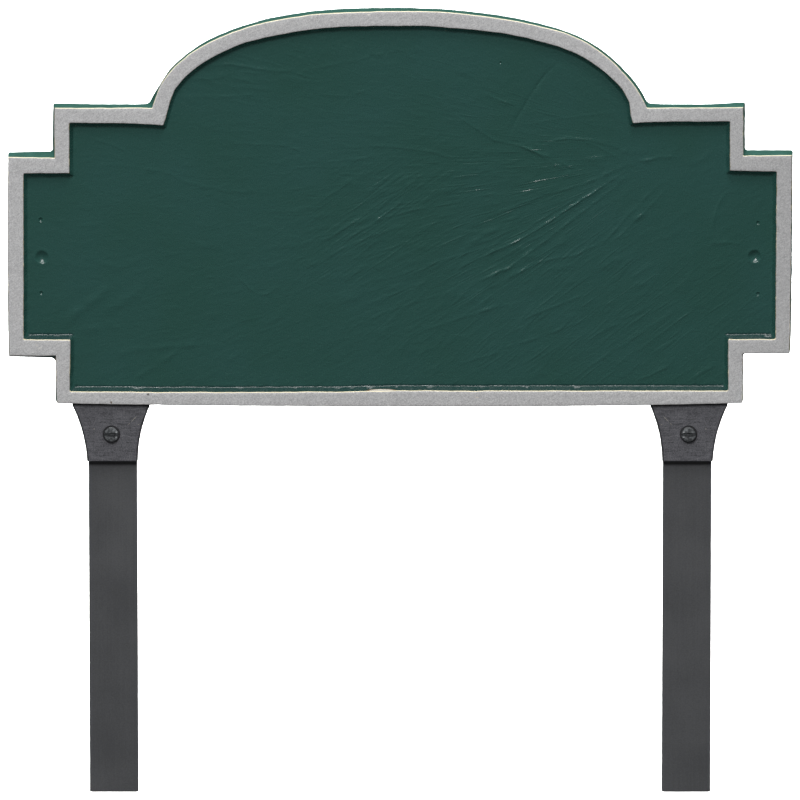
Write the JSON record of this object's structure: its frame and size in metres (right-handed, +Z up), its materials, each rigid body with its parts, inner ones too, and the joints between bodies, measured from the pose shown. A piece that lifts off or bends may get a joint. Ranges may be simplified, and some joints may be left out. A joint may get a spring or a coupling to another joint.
{
  "type": "lawn address plaque",
  "caption": "Cast address plaque with an arched, stepped outline and raised rim, on flared brackets and flat ground stakes; bare field for numbers.",
  "frame": {"origin": "on the ground, midway between the lower ends of the two stakes and in the middle of the bars' thickness", "axes": "+X to the right seen from the front, +Y from the front to the back, +Z up"},
  "size_m": [0.4074, 0.0145, 0.4156],
  "materials": {
    "green_enamel": "gloss",
    "black_casting": "satin",
    "grey_bar": "satin",
    "black_screw": "gloss"
  },
  "bodies": {
    "root": {"plaque": "green_enamel", "bracket_left": "black_casting", "bracket_right": "black_casting", "stake_left": "grey_bar", "stake_right": "grey_bar", "stake_screw_left": "black_screw", "stake_screw_right": "black_screw", "bracket_screw_left_lower": "black_screw", "bracket_screw_left_upper": "black_screw", "bracket_screw_right_lower": "black_screw", "bracket_screw_right_upper": "black_screw"}
  },
  "joints": []
}
